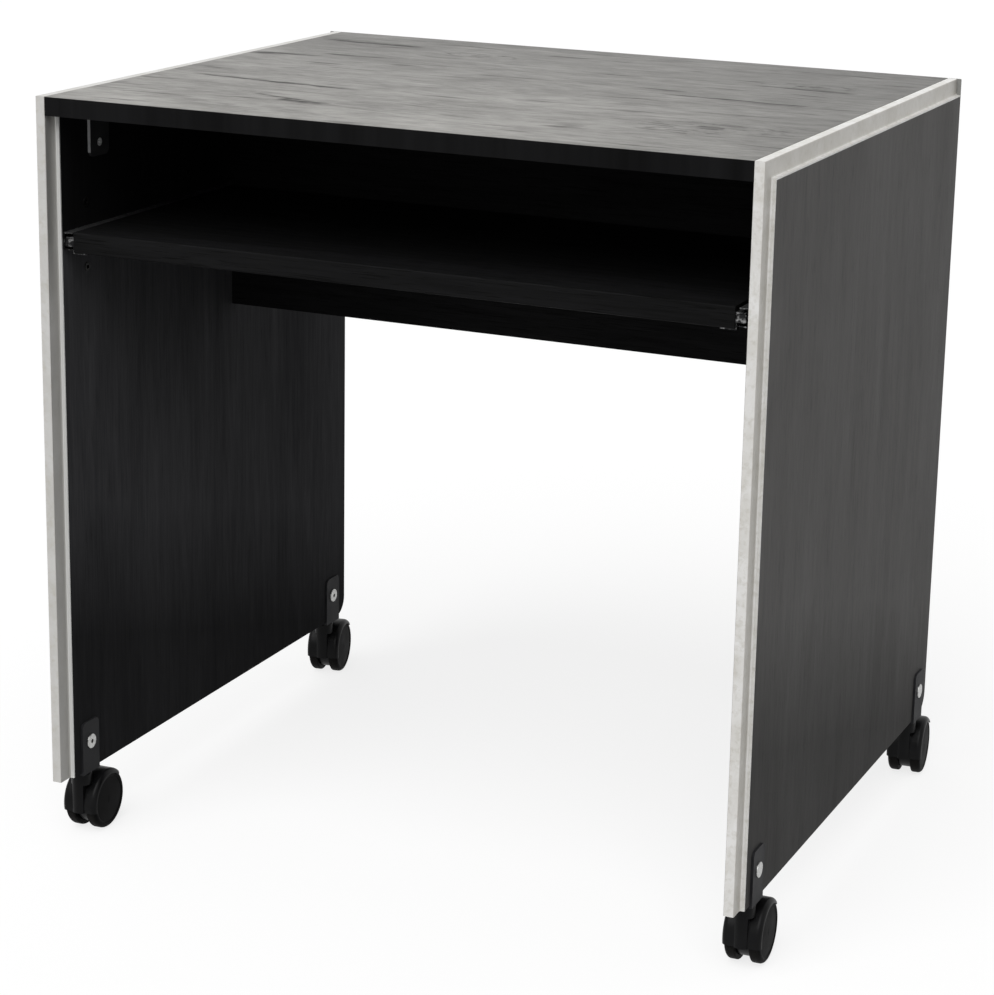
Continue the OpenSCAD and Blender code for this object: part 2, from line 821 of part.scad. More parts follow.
module saddle(i) {
    color("#3a3a3b") at_caster(i) difference() {
        translate([-saddle_out, -saddle_w / 2, stem_z])
            cube([2 * saddle_out, saddle_w, saddle_t + saddle_h]);
        translate([-saddle_in, -saddle_w / 2 - over, caster_h])
            cube([2 * saddle_in, saddle_w + 2 * over, saddle_h + over]);
        for (m = [0, 1]) mirror([0, m, 0])
            translate([saddle_out + over, -saddle_w / 2, caster_h + saddle_h]) mirror([1, 0, 0])
                along_x(2 * saddle_out + 2 * over) mirror([0, 1]) corner_waste(saddle_r);
        translate([-saddle_out - over, 0, caster_h + bolt_h])
            rod_x(2 * saddle_out + 2 * over, sleeve_d + 2 * fit);
        translate([0, 0, stem_z])
            cylinder(h = saddle_t + eps, d1 = journal_d + 2 * fit,
                d2 = journal_d + 2 * rivet_flare + 2 * fit);
        translate([0, 0, stem_z - over]) cylinder(h = 2 * over, d = journal_d + 2 * fit);
    }
}

// A low domed head: a disc with a rounded edge
module bolt_head() {
    rotate([0, 90, 0]) rotate_extrude() {
        square([bolt_head_d / 2, bolt_head_t / 2]);
        square([bolt_head_d / 2 - bolt_head_t / 2, bolt_head_t]);
        translate([bolt_head_d / 2 - bolt_head_t / 2, bolt_head_t / 2]) circle(bolt_head_t / 2);
    }
}

module saddle_sleeves() {
    color("#5a5b5d") for (i = [0 : 3])
        translate([0, caster_y[i], caster_h + bolt_h]) on_side(SIDES[i % 2])
            translate([panel_mid, 0, 0]) difference() {
                union() {
                    translate([saddle_out, 0, 0]) bolt_head();
                    translate([sleeve_end - saddle_out, 0, 0])
                        rod_x(2 * saddle_out - sleeve_end + eps, sleeve_d);
                }
                translate([-saddle_out, 0, 0]) rod_x(2 * saddle_out - sleeve_floor, bolt_d + 2 * fit);
            }
}

module saddle_screws() {
    shank_l = 2 * saddle_out - sleeve_floor - bolt_end_gap;
    color("#5a5b5d") for (i = [0 : 3])
        translate([0, caster_y[i], caster_h + bolt_h]) on_side(SIDES[i % 2])
            translate([panel_mid - saddle_out, 0, 0]) difference() {
                union() {
                    mirror([1, 0, 0]) bolt_head();
                    translate([-eps, 0, 0]) rod_x(shank_l, bolt_d);
                }
                translate([-2 * bolt_head_t, 0, 0]) rotate([0, 90, 0])
                    cylinder(h = 3 * bolt_head_t, d = bolt_hex, $fn = 6);
            }
}

// The stem: rivet head in the saddle, shoulder, journal and grooved pilot
module stem(i) {
    color("#8f9194") at_caster(i) difference() {
        union() {
            translate([0, 0, stem_z]) cylinder(h = saddle_t, d1 = journal_d,
                d2 = journal_d + 2 * rivet_flare);
            translate([0, 0, stem_z - shoulder_t]) cylinder(h = shoulder_t, d = shoulder_d);
            translate([0, 0, journal_z]) cylinder(h = journal_l + eps, d = journal_d);
            translate([0, 0, pilot_z]) cylinder(h = pilot_l + eps, d = pilot_d);
        }
        translate([0, 0, ring_z - fit]) difference() {
            cylinder(h = ring_t + 2 * fit, d = pilot_d + over);
            translate([0, 0, -over])
                cylinder(h = ring_t + 2 * over, d = pilot_d - 2 * ring_in);
        }
    }
}

module snap_rings() {
    color("#9a9a9a") for (i = [0 : 3]) at_caster(i) translate([0, 0, ring_z]) difference() {
        cylinder(h = ring_t, d = pilot_d + 2 * ring_out);
        translate([0, 0, -over]) cylinder(h = ring_t + 2 * over, d = pilot_d - 2 * ring_in + 2 * fit);
        translate([0, -ring_slot / 2, -over]) cube([pilot_d, ring_slot, ring_t + 2 * over]);
    }
}

// Casters. Here the swivel axis is the Z axis, and the wheels trail towards +Y.

module turned_caster(i) {
    at_caster(i) rotate([0, 0, caster_turn[i]]) children();
}

module at_axle() {
    translate([0, trail, wheel_r]) children();
}

// A half section of radius and width, turned about the axle
module about_axle() {
    at_axle() rotate([0, 90, 0]) rotate_extrude() children();
}

module rounded_band(r, half, corner) {
    translate([0, -half + corner]) square([r, 2 * (half - corner)]);
    translate([0, -half]) square([r - corner, 2 * half]);
    for (side = [-1, 1]) translate([r - corner, side * (half - corner)]) circle(corner);
}

module fender_section() {
    intersection() {
        difference() {
            rounded_band(hood_out_r, caster_w / 2, hood_r);
            rounded_band(space_r, caster_w / 2 - hood_t, hood_r - hood_t);
        }
        translate([hood_out_r - hood_r, -caster_w]) square([hood_r + over, 2 * caster_w]);
    }
}

// The part of the fender's circle that the hood covers: over the top and down the front
module covered_sector() {
    far = 3 * wheel_d;
    rear = [far * cos(hood_rear_angle), far * sin(hood_rear_angle)];
    at_axle() translate([-caster_w, 0, 0]) along_x(2 * caster_w) polygon([
        [0, 0],
        rear,
        [rear[0], far],
        [-far, far],
        [-far, hood_bottom - wheel_r],
        [0, hood_bottom - wheel_r]
    ]);
}

// Round above the wheels, and as narrow as the web where it runs down between them
module housing() {
    r = housing_d / 2;
    rotate_extrude() {
        translate([0, housing_z]) square([r, housing_top - housing_r - housing_z]);
        translate([0, housing_z]) square([r - housing_r, housing_top - housing_z]);
        translate([r - housing_r, housing_top - housing_r]) circle(housing_r);
    }
    intersection() {
        translate([0, 0, hood_bottom]) cylinder(h = housing_z + over - hood_bottom, r = r);
        translate([-web_half, -wheel_d, 0]) cube([web_w, 2 * wheel_d, housing_top]);
    }
}

module web() {
    at_axle() translate([-web_half, 0, 0]) rod_x(web_w, 2 * web_r);
    intersection() {
        at_axle() translate([-web_half, 0, 0]) rod_x(web_w, 2 * space_r + hood_t);
        covered_sector();
    }
}

module wheel_space() {
    for (m = [0, 1]) mirror([m, 0, 0])
        at_axle() translate([web_half, 0, 0]) rod_x(caster_w, 2 * space_r);
}

module stem_bore() {
    translate([0, 0, journal_z - shoulder_gap])
        cylinder(h = housing_top, d = journal_d + 2 * run_gap);
    translate([0, 0, pilot_z - pilot_gap])
        cylinder(h = pilot_l + pilot_gap, d = pilot_d + 2 * run_gap);
    translate([0, 0, ring_z - 2 * fit])
        cylinder(h = ring_t + 4 * fit, d = pilot_d + 2 * ring_out + 2 * ring_slack);
}

module hood(i) {
    color("#1f1f20") turned_caster(i) difference() {
        union() {
            intersection() {
                about_axle() fender_section();
                covered_sector();
            }
            difference() {
                union() {
                    web();
                    housing();
                }
                wheel_space();
            }
        }
        stem_bore();
        at_axle() translate([-caster_w / 2, 0, 0]) rod_x(caster_w, axle_d + 2 * run_gap);
    }
}

// The axle's collars snap into the grooves in the wheels' bores
module axle(i) {
    color("#9fa1a4") turned_caster(i) at_axle() {
        translate([-axle_end, 0, 0]) rod_x(2 * axle_end, axle_d);
        for (m = [0, 1]) mirror([m, 0, 0])
            translate([collar_x, 0, 0]) rod_x(collar_w, axle_d + 2 * collar_out);
    }
}

module wheel_section() {
    rim_in_r = wheel_r - rim_t;
    dish_x = wheel_x - disc_dish;
    dome_r = (rim_in_r * rim_in_r + disc_dish * disc_dish) / (2 * disc_dish);
    difference() {
        union() {
            // Rim, with its outer edge rounded more than its inner one
            translate([rim_in_r, rim_x]) square([rim_t - rim_r, wheel_w]);
            translate([rim_in_r, rim_x + rim_inner_r])
                square([rim_t, wheel_w - rim_inner_r - rim_r]);
            translate([wheel_r - rim_r, rim_x]) square([rim_r - rim_inner_r, wheel_w - rim_r]);
            translate([wheel_r - rim_inner_r, rim_x + rim_inner_r]) circle(rim_inner_r);
            translate([wheel_r - rim_r, wheel_x - rim_r]) circle(rim_r);
            // Domed disc
            intersection() {
                translate([0, dish_x - disc_t])
                    square([rim_in_r + eps, disc_t + disc_dish + over]);
                // So flat an arc needs many more facets than the other circles
                translate([0, wheel_x - dome_r]) circle(dome_r, $fn = 1440);
            }
            translate([0, hub_x]) square([hub_d / 2, dish_x - disc_t / 2 - hub_x]);
        }
        translate([-over, 0]) square([axle_r + run_gap + over, axle_end + axle_end_gap]);
        translate([-over, collar_x - collar_slack])
            square([axle_r + collar_out + run_gap + over, collar_w + 2 * collar_slack]);
    }
}

// The ribs run a little way into the disc, the hub and the rim
module wheel_ribs() {
    rib_in = 0.2;
    for (k = [0 : ribs - 1]) rotate([k * 360 / ribs, 0, 0])
        translate([wheel_x - disc_dish - disc_t - rib_depth, hub_d / 2 - rib_in, -rib_t / 2])
            cube([rib_depth + disc_t / 2, wheel_r - rim_t - hub_d / 2 + 2 * rib_in, rib_t]);
}

// The outer wheel faces away from the desk's middle
module wheel(i, which) {
    left = i % 2 == 0;
    flip = (which == "outer_wheel") == left;
    color("#161616") turned_caster(i) mirror([flip ? 1 : 0, 0, 0]) {
        about_axle() wheel_section();
        at_axle() wheel_ribs();
    }
}

place() {
    top_board();
    trim_end_caps();
    back_panel();
    keyboard_shelf();
    back_panel_dowels();
    cam_locks();
    cam_bolts();
    rail_screws();
    shelf_screws();
    spare_sleeves();
    bracket_screws();
    saddle_sleeves();
    saddle_screws();
    snap_rings();
    for (s = SIDES) on_side(s) {
        side_panel();
        front_trim();
        top_trim();
        fixed_rail();
        moving_rail();
        ball_cage();
        balls();
    }
    for (i = [0 : 3]) {
        on_side(SIDES[i % 2]) angle_bracket(i);
        saddle(i);
        stem(i);
        hood(i);
        axle(i);
        for (w = ["outer_wheel", "inner_wheel"])
            wheel(i, w);
    }
}
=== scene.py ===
import math

import bpy
from mathutils import Matrix, Vector


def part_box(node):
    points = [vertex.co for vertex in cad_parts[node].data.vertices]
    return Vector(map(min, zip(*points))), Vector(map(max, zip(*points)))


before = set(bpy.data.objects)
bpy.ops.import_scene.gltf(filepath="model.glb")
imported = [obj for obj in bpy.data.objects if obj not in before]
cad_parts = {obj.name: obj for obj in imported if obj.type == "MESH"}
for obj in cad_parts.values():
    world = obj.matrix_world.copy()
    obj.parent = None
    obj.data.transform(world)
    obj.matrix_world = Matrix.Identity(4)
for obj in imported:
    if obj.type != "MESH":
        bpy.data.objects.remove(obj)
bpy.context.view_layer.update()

# The photograph's frame in pixels, and the camera that fits the desk's edges in it
PHOTO_W, PHOTO_H = 994, 995
SENSOR = 36.0
FOCAL_PX = 2774.42
MIDDLE_PX = (545.0, 430.0)
CAMERA_AT = (1.1011, -2.4942, 1.1339)
CAMERA_YAW, CAMERA_PITCH, CAMERA_ROLL = -0.4048, 0.2607, -0.0226

# A point counts as on a face within this distance of it
SKIN = 0.0003


def linear(level):
    """The linear value of a screen level from 0 to 255."""
    share = level / 255
    return share / 12.92 if share <= 0.04045 else ((share + 0.055) / 1.055) ** 2.4


def colour(red, green, blue):
    """A linear colour with alpha from three screen levels."""
    return (linear(red), linear(green), linear(blue), 1.0)


class Shader:
    """A material's nodes round one Principled surface, with a short method for each kind."""

    def __init__(self, name, metallic=0.0, specular=0.5):
        self.material = bpy.data.materials.new(name)
        self.material.use_nodes = True
        self.nodes = self.material.node_tree.nodes
        self.links = self.material.node_tree.links
        self.nodes.clear()
        self.surface = self.nodes.new("ShaderNodeBsdfPrincipled")
        self.output = self.nodes.new("ShaderNodeOutputMaterial")
        self.links.new(self.surface.outputs[0], self.output.inputs[0])
        self.surface.inputs["Metallic"].default_value = metallic
        self.surface.inputs["Specular IOR Level"].default_value = specular
        self.place = self.nodes.new("ShaderNodeTexCoord").outputs["Object"]
        parts = self.nodes.new("ShaderNodeSeparateXYZ")
        self.links.new(self.place, parts.inputs[0])
        self.x, self.y, self.z = parts.outputs

    def set(self, socket, value):
        if isinstance(value, bpy.types.NodeSocket):
            self.links.new(value, socket)
        elif value is not None:
            socket.default_value = value

    def math(self, operation, first, second=None, third=None):
        node = self.nodes.new("ShaderNodeMath")
        node.operation = operation
        for socket, value in zip(node.inputs, (first, second, third)):
            self.set(socket, value)
        return node.outputs[0]

    def total(self, *terms):
        """The sum of (value, weight) pairs."""
        result = 0.0
        for value, weight in terms:
            result = self.math("MULTIPLY_ADD", value, weight, result)
        return result

    def product(self, result, *others):
        """The product of two or more values."""
        for value in others:
            result = self.math("MULTIPLY", result, value)
        return result

    def vector(self, x, y, z):
        node = self.nodes.new("ShaderNodeCombineXYZ")
        for socket, value in zip(node.inputs, (x, y, z)):
            self.set(socket, value)
        return node.outputs[0]

    def distance(self, point):
        node = self.nodes.new("ShaderNodeVectorMath")
        node.operation = "DISTANCE"
        self.set(node.inputs[0], self.place)
        node.inputs[1].default_value = point
        return node.outputs["Value"]

    def length(self, vector):
        node = self.nodes.new("ShaderNodeVectorMath")
        node.operation = "LENGTH"
        self.set(node.inputs[0], vector)
        return node.outputs["Value"]

    def stretched(self, per_metre, place=None, shift=(0, 0, 0)):
        """The place, scaled so that one unit is one feature of the pattern."""
        node = self.nodes.new("ShaderNodeMapping")
        self.set(node.inputs["Vector"], place or self.place)
        node.inputs["Scale"].default_value = per_metre
        node.inputs["Location"].default_value = shift
        return node.outputs[0]

    def noise(self, place, detail=3.0, rough=0.55, bend=0.0):
        node = self.nodes.new("ShaderNodeTexNoise")
        self.set(node.inputs["Vector"], place)
        node.inputs["Scale"].default_value = 1.0
        node.inputs["Detail"].default_value = detail
        node.inputs["Roughness"].default_value = rough
        node.inputs["Distortion"].default_value = bend
        return node.outputs["Fac"]

    def span(self, value, low, high, start=0.0, end=1.0):
        """The value from low to high, brought to start and end and held there."""
        node = self.nodes.new("ShaderNodeMapRange")
        for socket, number in zip(node.inputs, (value, low, high, start, end)):
            self.set(socket, number)
        return node.outputs[0]

    def mix(self, share, first, second):
        node = self.nodes.new("ShaderNodeMix")
        node.data_type = "RGBA"
        self.set(node.inputs["Factor"], share)
        colours = [s for s in node.inputs if s.type == "RGBA"]
        self.set(colours[0], first)
        self.set(colours[1], second)
        return next(s for s in node.outputs if s.type == "RGBA")

    def bump(self, height, depth):
        node = self.nodes.new("ShaderNodeBump")
        self.set(node.inputs["Height"], height)
        node.inputs["Distance"].default_value = depth
        node.inputs["Strength"].default_value = 1.0
        return node.outputs[0]

    def finish(self, base, roughness, normal=None):
        self.set(self.surface.inputs["Base Color"], base)
        self.set(self.surface.inputs["Roughness"], roughness)
        self.set(self.surface.inputs["Normal"], normal)
        return self.material


def past(s, value, limit):
    """1 where the value reaches the limit, such as a node's outermost face, and 0 before it."""
    return s.span(value, limit - SKIN, limit - SKIN / 2)


# The black stain of the boards, which the panels and the worktop's edges share
BOARD_LIGHT = colour(24, 24, 25)
BOARD_DARK = colour(11, 11, 11)
PORE = colour(4, 4, 4)
BOARD_GLOSS = 0.06
# Depth of the relief on a black board, and on a panel or the worktop
BOARD_DEPTH = 0.00012
GRAIN_DEPTH = 0.0001


def straight_grain(s, along):
    """Grain along X or Z: its tone from 0 to 1, and 1 in the open pores."""
    def scale(run, cross):
        return (run, cross, cross) if along == "x" else (cross, cross, run)
    bands = s.noise(s.stretched(scale(2.2, 14)), 4.0, 0.6, 0.8)
    streaks = s.noise(s.stretched(scale(7, 110), shift=(3, 7, 1)), 3.0, 0.6, 0.3)
    lines = s.noise(s.stretched(scale(18, 520), shift=(8, 2, 4)), 2.0, 0.5)
    pores = s.noise(s.stretched(scale(30, 1000), shift=(1, 2, 5)), 2.0, 0.5)
    tone = s.total((bands, 0.45), (streaks, 0.3), (lines, 0.25))
    return s.span(tone, 0.36, 0.64), s.span(pores, 0.57, 0.66)


def grain_bump(s, tone, sunk, depth=GRAIN_DEPTH):
    """Relief of a board: the light grain raised, and what is sunk lying below it."""
    return s.bump(s.math("MULTIPLY_ADD", tone, 0.3, s.math("MULTIPLY", sunk, -1.0)), depth)


def black_board():
    """Black-stained wood with its grain along X."""
    s = Shader("board", specular=BOARD_GLOSS)
    tone, pores = straight_grain(s, "x")
    base = s.mix(pores, s.mix(tone, BOARD_DARK, BOARD_LIGHT), PORE)
    return s.finish(base, s.span(tone, 0, 1, 0.7, 0.5), grain_bump(s, tone, pores, BOARD_DEPTH))


# The side panels: the outer face, the others darker as painted shade, and how much painted shade
# each takes low down
OUTER_DARK, OUTER_LIGHT, OUTER_LOW_SHADE = colour(106, 105, 104), colour(116, 115, 114), 0.48
INNER_SHADED_DARK, INNER_SHADED_LIGHT, INNER_LOW_SHADE = colour(64, 64, 66), colour(86, 86, 88), 0.7
PANEL_GLOSS = 0.015
# The painted shade low down spans these heights at mid depth, and lies lower down towards the
# rear
LOW_SHADE_SPAN = (0.28, 0.14)
LOW_SHADE_SLOPE = 0.27
# The bay over the keyboard shelf and in front of the back panel gets painted shade, darker than
# the rest
SHELF_LOW, SHELF_TOP = (corner[2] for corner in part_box("keyboard_shelf"))
BACK_FRONT, BACK_REAR = (corner[1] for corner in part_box("back_panel"))
BAY_SHADE = 0.9


def side_panel():
    """Upright grain, charcoal on the outer face and black on the others as painted shade, with
    painted shade low down and in the bay over the shelf.
    """
    s = Shader("upright", specular=PANEL_GLOSS)
    tone, pores = straight_grain(s, "z")
    outer = past(s, s.math("ABSOLUTE", s.x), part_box("right_panel")[1][0])
    # Painted shade in the bay: black over the shelf, fading out across the back panel
    above = s.span(s.z, SHELF_LOW, SHELF_TOP)
    bay = s.product(above, s.span(s.y, BACK_FRONT, BACK_REAR, BAY_SHADE, 0))
    # The other faces take a darker copy of the same grain as painted shade, going black in the
    # bay as painted shade
    inner = s.mix(bay, s.mix(tone, INNER_SHADED_DARK, INNER_SHADED_LIGHT), BOARD_DARK)
    base = s.mix(outer, inner, s.mix(tone, OUTER_DARK, OUTER_LIGHT))
    base = s.mix(s.product(pores, 0.22), base, BOARD_LIGHT)
    # Painted shade: the panel's colour darkens low down, lower towards the rear
    low_down = s.span(s.math("MULTIPLY_ADD", s.y, LOW_SHADE_SLOPE, s.z), *LOW_SHADE_SPAN)
    low_shade = s.product(low_down, s.span(outer, 0, 1, INNER_LOW_SHADE, OUTER_LOW_SHADE))
    base = s.mix(low_shade, base, BOARD_LIGHT)
    satin = s.total((outer, -0.2), (low_down, 0.1), (tone, -0.12))
    return s.finish(base, s.math("ADD", satin, 0.74), grain_bump(s, tone, pores))


# The worktop's grey print, partly painted sheen: its bands, its painted sheen fading towards the
# rear and right, and its marks
PRINT_AND_SHEEN_DARK = colour(120, 119, 116)
PRINT_AND_SHEEN_LIGHT = colour(178, 176, 172)
PRINT_LESS_SHEEN = colour(86, 86, 85)
PRINT_PORE = colour(80, 79, 77)
PRINT_MARK = colour(44, 42, 40)
REAR_SHEEN_FADE = (-0.24, 0.28, 0.0, 0.46)
RIGHT_SHEEN_FADE = (0.08, 0.34, 0.0, 0.3)
# Knots, by their centre and half width across the grain; how long they are for their width,
# and how much of the flow they push aside
KNOTS = (
    ((0.25, 0.145), 0.014),
    ((0.262, -0.16), 0.02),
    ((0.235, -0.19), 0.01),
    ((-0.13, 0.183), 0.012),
)
KNOT_LENGTH = 2.8
KNOT_PUSH = 0.85
# Splits, by their two ends and half width
SPLITS = (
    ((-0.32, -0.095), (-0.115, -0.118), 0.009),
    ((-0.345, 0.222), (-0.21, 0.212), 0.013),
    ((-0.352, 0.083), (-0.27, 0.092), 0.01),
    ((-0.2, -0.185), (-0.09, -0.217), 0.006),
    ((-0.162, -0.206), (-0.105, -0.214), 0.012),
    ((0.19, 0.128), (0.31, 0.118), 0.005),
    ((0.14, 0.02), (0.3, 0.012), 0.005),
)


def round_knot(s, flow, centre, half):
    """The grain's flow led round a knot, and the distance from it in half widths."""
    across = s.math("SUBTRACT", s.y, centre[1])
    along = s.math("SUBTRACT", s.x, centre[0])
    along = s.math("DIVIDE", along, KNOT_LENGTH * half)
    gone = s.length(s.vector(along, s.math("DIVIDE", across, half), 0.0))
    near = s.math("EXPONENT", s.product(gone, gone, -0.5))
    return s.math("SUBTRACT", flow, s.product(near, across, KNOT_PUSH)), gone


def split(s, ragged, start, end, half):
    """A dark, ragged split in the print from start to end: 1 in it and 0 beside it."""
    share = s.span(s.x, start[0], end[0])
    middle = s.span(share, 0, 1, start[1], end[1])
    gap = s.math("ABSOLUTE", s.math("SUBTRACT", s.y, middle))
    gap = s.math("ADD", gap, s.product(ragged, 0.7 * half))
    ends = s.product(share, s.math("SUBTRACT", 1.0, share))
    return s.product(s.span(gap, 0.4 * half, half, 1, 0), s.span(ends, 0, 0.12))


def figure(s, flow):
    """The grain's flow round the knots, and how dark the knots and splits are at a place."""
    ragged = s.span(s.noise(s.stretched((26, 190, 0), shift=(2, 8, 3)), 3.0, 0.6), 0.4, 0.65)
    uneven = s.noise(s.stretched((34, 70, 0), shift=(6, 3, 9)), 3.0, 0.6)
    dark = 0.0
    for centre, half in KNOTS:
        flow, gone = round_knot(s, flow, centre, half)
        gone = s.math("ADD", gone, s.span(uneven, 0.3, 0.7, -0.45, 0.45))
        rings = s.math("SINE", s.product(gone, 7.0))
        ring = s.product(s.span(rings, 0.1, 1.0), s.span(gone, 1.0, 1.5, 1, 0))
        ring = s.product(ring, s.span(ragged, 0, 0.8, 0.85, 0.0))
        eye = s.span(gone, 0.1, 0.4, 0.45, 0)
        dark = s.math("MAXIMUM", dark, s.math("MAXIMUM", ring, eye))
    for start, end, half in SPLITS:
        dark = s.math("MAXIMUM", dark, split(s, ragged, start, end, half))
    return flow, dark


def worktop():
    """Grey wood print with bands, knots and splits on the top face, its grey partly painted
    sheen; the other faces are black.
    """
    s = Shader("worktop", specular=BOARD_GLOSS)
    wander = s.noise(s.stretched((3.2, 9, 0)), 3.0, 0.5)
    wander = s.product(s.math("SUBTRACT", wander, 0.5), 0.04)
    flow, dark = figure(s, s.math("ADD", s.y, wander))
    place = s.vector(s.x, flow, 0.0)
    bands = s.noise(s.stretched((3.4, 9, 1), place), 4.0, 0.6, 1.2)
    streaks = s.noise(s.stretched((16, 70, 1), place, (3, 7, 1)), 5.0, 0.7, 0.5)
    lines = s.noise(s.stretched((40, 300, 1), place, (8, 2, 4)), 3.0, 0.65)
    pores = s.noise(s.stretched((30, 900, 1), place, (1, 2, 5)), 2.0, 0.5)
    dashes = s.noise(s.stretched((10, 75, 1), place, (5, 9, 2)), 2.0, 0.5)
    dark = s.math("MAXIMUM", dark, s.span(dashes, 0.6, 0.72, 0, 0.7))
    tone = s.span(s.total((bands, 0.36), (streaks, 0.34), (lines, 0.3)), 0.36, 0.62)
    open_pores = s.span(pores, 0.58, 0.68)
    # The top face's grey is partly the board's print and partly painted sheen, much lighter than
    # the black edges
    printed_and_sheen = s.mix(tone, PRINT_AND_SHEEN_DARK, PRINT_AND_SHEEN_LIGHT)
    # Painted sheen fading towards the rear and towards the right
    printed_and_sheen = s.mix(s.span(s.y, *REAR_SHEEN_FADE), printed_and_sheen, PRINT_LESS_SHEEN)
    printed_and_sheen = s.mix(s.span(s.x, *RIGHT_SHEEN_FADE), printed_and_sheen, PRINT_LESS_SHEEN)
    printed_and_sheen = s.mix(s.product(open_pores, 0.3), printed_and_sheen, PRINT_PORE)
    printed_and_sheen = s.mix(dark, printed_and_sheen, PRINT_MARK)
    face = past(s, s.z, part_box("top_board")[1][2])
    black = s.mix(tone, PORE, BOARD_LIGHT)
    roughness = s.math("ADD", s.span(tone, 0, 1, 0.12, 0.0), s.span(face, 0, 1, 0.6, 0.42))
    bump = grain_bump(s, tone, s.math("MAXIMUM", dark, open_pores))
    return s.finish(s.mix(face, black, printed_and_sheen), roughness, bump)


# Where the nose's sides stand from the middle plane, and how far its lips lie behind its front
NOSE_INNER = 0.3505
NOSE_OUTER = 0.3605
LIP_DEPTH = 0.0165
# The trim's silver, and what differs from it: painted shade further left, spots, the nose's sides
# (warm tint with painted shade), painted shade inside the nose, and a painted highlight on the
# lip
TRIM_DARK = colour(224, 222, 217)
TRIM_LIGHT = colour(240, 239, 237)
TRIM_LEFT_SHADE = colour(172, 171, 168)
TRIM_SPOT = colour(194, 190, 178)
TRIM_WARM_SIDE_SHADE = colour(188, 184, 175)
TRIM_INSIDE_SHADE = colour(170, 168, 164)
TRIM_LIP_HIGHLIGHT = colour(246, 246, 244)
LEFT_SHADE_FADE = (0.36, -0.36, 0, 0.38)
TRIM_DEPTH = 0.00012


def trim_metal():
    """Matt silver, mottled with warm grey; painted shade inside the nose, on its sides and
    further left, and a painted highlight on the lip.
    """
    s = Shader("trim", metallic=0.2)
    away = s.math("ABSOLUTE", s.x)
    inside = s.span(away, NOSE_INNER + SKIN, NOSE_INNER + 2 * SKIN, 1, 0)
    side = s.math("ABSOLUTE", s.math("SUBTRACT", away, NOSE_OUTER))
    side = s.span(side, SKIN, 2 * SKIN, 1, 0)
    lip = past(s, s.y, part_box("right_front_trim")[0][1] + LIP_DEPTH)
    mottle = s.noise(s.stretched((30, 30, 30)), 5.0, 0.62, 0.6)
    spots = s.noise(s.stretched((160, 160, 160), shift=(4, 1, 6)), 4.0, 0.6)
    drawn = s.noise(s.stretched((500, 14, 14)), 2.0, 0.5)
    base = s.mix(s.span(mottle, 0.36, 0.64), TRIM_DARK, TRIM_LIGHT)
    # Painted shade: the trims darken towards the left
    base = s.mix(s.span(s.x, *LEFT_SHADE_FADE), base, TRIM_LEFT_SHADE)
    base = s.mix(s.span(spots, 0.5, 0.72, 0, 0.5), base, TRIM_SPOT)
    # The nose's outer sides: a warm tint, partly real and partly painted shade
    base = s.mix(s.product(side, 0.6), base, TRIM_WARM_SIDE_SHADE)
    # Painted shade on what lies inward of the nose's inner sides
    base = s.mix(s.product(inside, 0.8), base, TRIM_INSIDE_SHADE)
    # Painted highlight on what lies inward of the nose and behind the lip's front
    base = s.mix(s.product(inside, lip, 0.9), base, TRIM_LIP_HIGHLIGHT)
    matt = s.span(drawn, 0.3, 0.7, 0.3, 0.4)
    roughness = s.math("ADD", s.span(mottle, 0.35, 0.65, 0.1, 0.0), matt)
    return s.finish(base, roughness, s.bump(s.total((mottle, 0.5), (spots, 0.5)), TRIM_DEPTH))


# Steel: oiled, bright spots of painted glint, a painted highlight along a rail's top edge, and
# where a sheet was sheared
OILED = colour(30, 30, 31)
GLINT_SPOT = colour(150, 150, 150)
RAIL_TOP_HIGHLIGHT = colour(150, 151, 152)
SHEARED = colour(226, 227, 228)
# Relief of a fine grain and of enamel's orange peel
FINE_DEPTH = 0.00002
PEEL_DEPTH = 0.00005
# A wheel's scuffed tread, and the distances below its rim over which it fades
SCUFFED = colour(34, 33, 32)
TREAD_FADE = (0.0012, 0.0002)


def two_scales(s, patches, grains):
    """Even noise in patches and in fine grains, by how many of each there are per metre."""
    cloud = s.noise(s.stretched((patches,) * 3), 4.0, 0.6)
    fine = s.noise(s.stretched((grains,) * 3), 2.0, 0.5)
    return cloud, fine


def sheet_metal(name, low, high, rough=(0.25, 0.4), patches=60):
    """Plated or bare steel, mottled in patches."""
    s = Shader(name, metallic=1.0)
    cloud, fine = two_scales(s, patches, 900)
    base = s.mix(s.span(cloud, 0.35, 0.65), low, high)
    roughness = s.span(cloud, 0.35, 0.65, *rough)
    return s.finish(base, roughness, s.bump(fine, FINE_DEPTH))


def rail_steel(name, top):
    """Oiled dark steel with bright spots of painted glint, and a painted highlight along its top
    edge.
    """
    s = Shader(name, metallic=0.85)
    cloud, fine = two_scales(s, 240, 900)
    # Painted glints: bright spots in the oiled steel
    base = s.mix(s.span(cloud, 0.5, 0.7), OILED, GLINT_SPOT)
    # Painted highlight along the rail's top edge
    base = s.mix(s.product(past(s, s.z, top), 0.5), base, RAIL_TOP_HIGHLIGHT)
    return s.finish(base, s.span(cloud, 0.35, 0.65, 0.45, 0.3), s.bump(fine, FINE_DEPTH))


def coated_metal(name, low, high, edge_y=None):
    """Black enamel with its orange peel; the sheared front edge at edge_y shows rubbed steel."""
    s = Shader(name, specular=0.1)
    cloud, peel = two_scales(s, 45, 700)
    base = s.mix(s.span(cloud, 0.35, 0.65), low, high)
    if edge_y is not None:
        bare = s.span(s.y, edge_y + SKIN / 2, edge_y + SKIN, 1, 0)
        rubbed = s.product(bare, s.span(cloud, 0.4, 0.6, 0.7, 1.0))
        base = s.mix(rubbed, base, SHEARED)
    return s.finish(base, s.span(cloud, 0.3, 0.7, 0.5, 0.62), s.bump(peel, PEEL_DEPTH))


